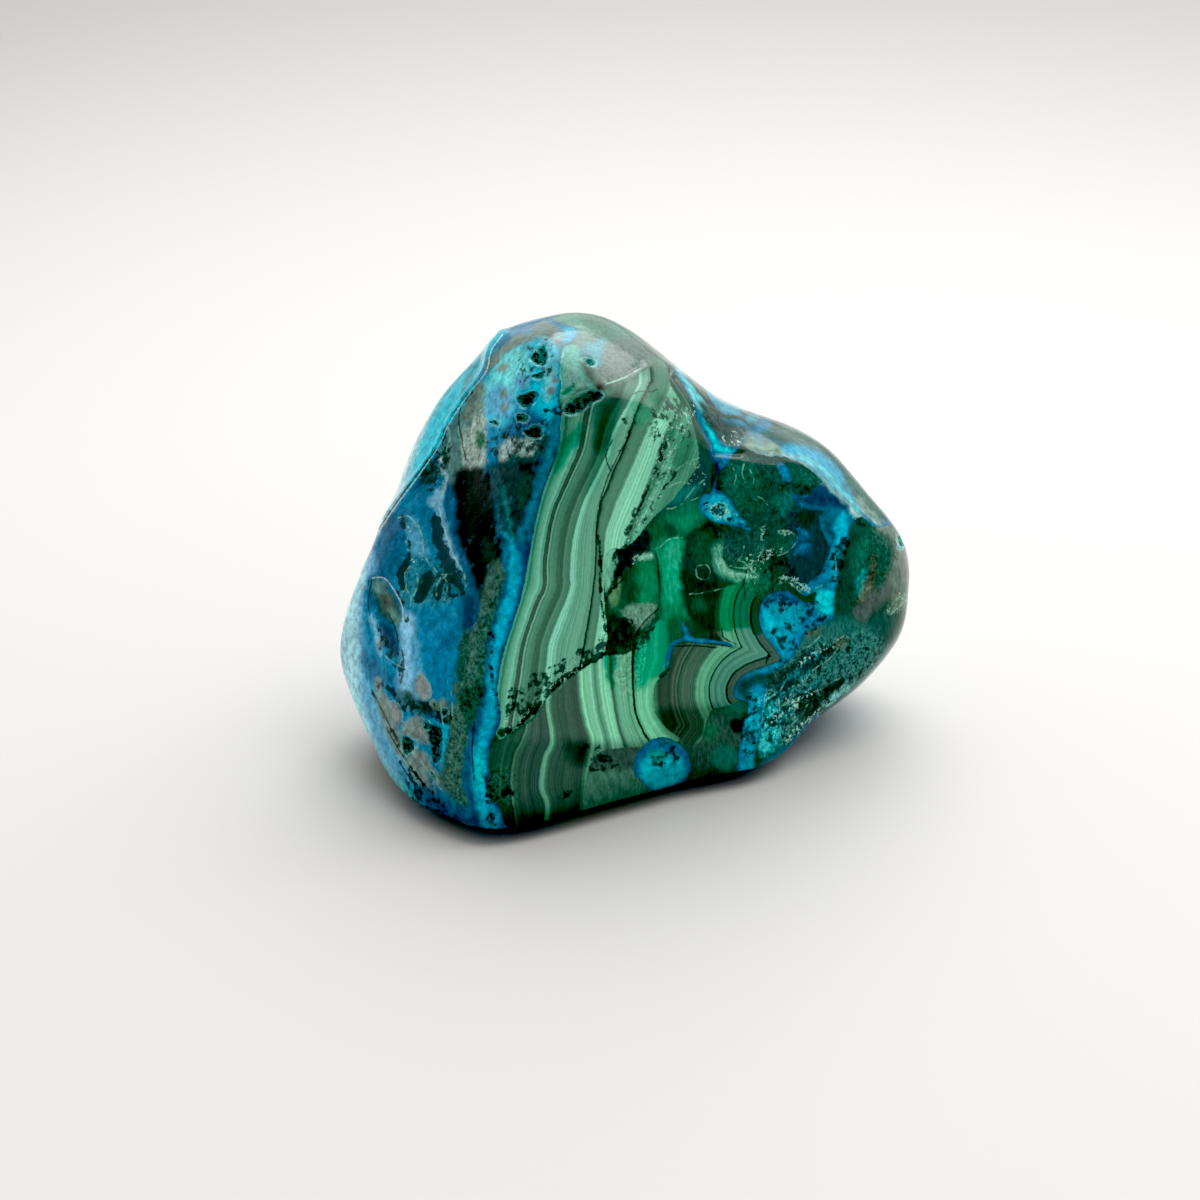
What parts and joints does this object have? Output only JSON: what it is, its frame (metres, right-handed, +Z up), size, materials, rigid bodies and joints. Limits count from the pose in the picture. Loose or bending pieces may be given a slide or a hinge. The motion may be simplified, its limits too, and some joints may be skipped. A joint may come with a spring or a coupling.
{
  "type": "polished mineral specimen",
  "caption": "Polished freeform stone of chrysocolla and banded malachite, a rounded wedge with a side lobe, standing on a flat base.",
  "frame": {"origin": "middle of the base: the bottom centre of the bounding box, on the surface the stone stands on", "axes": "+X to the right along the stone's length, towards the lobe; +Y from the banded front to the back; +Z up"},
  "size_m": [0.0926, 0.0624, 0.071],
  "materials": {
    "polished_stone": "polished stone, glossy"
  },
  "bodies": {
    "root": {"stone": "polished_stone"}
  },
  "joints": []
}
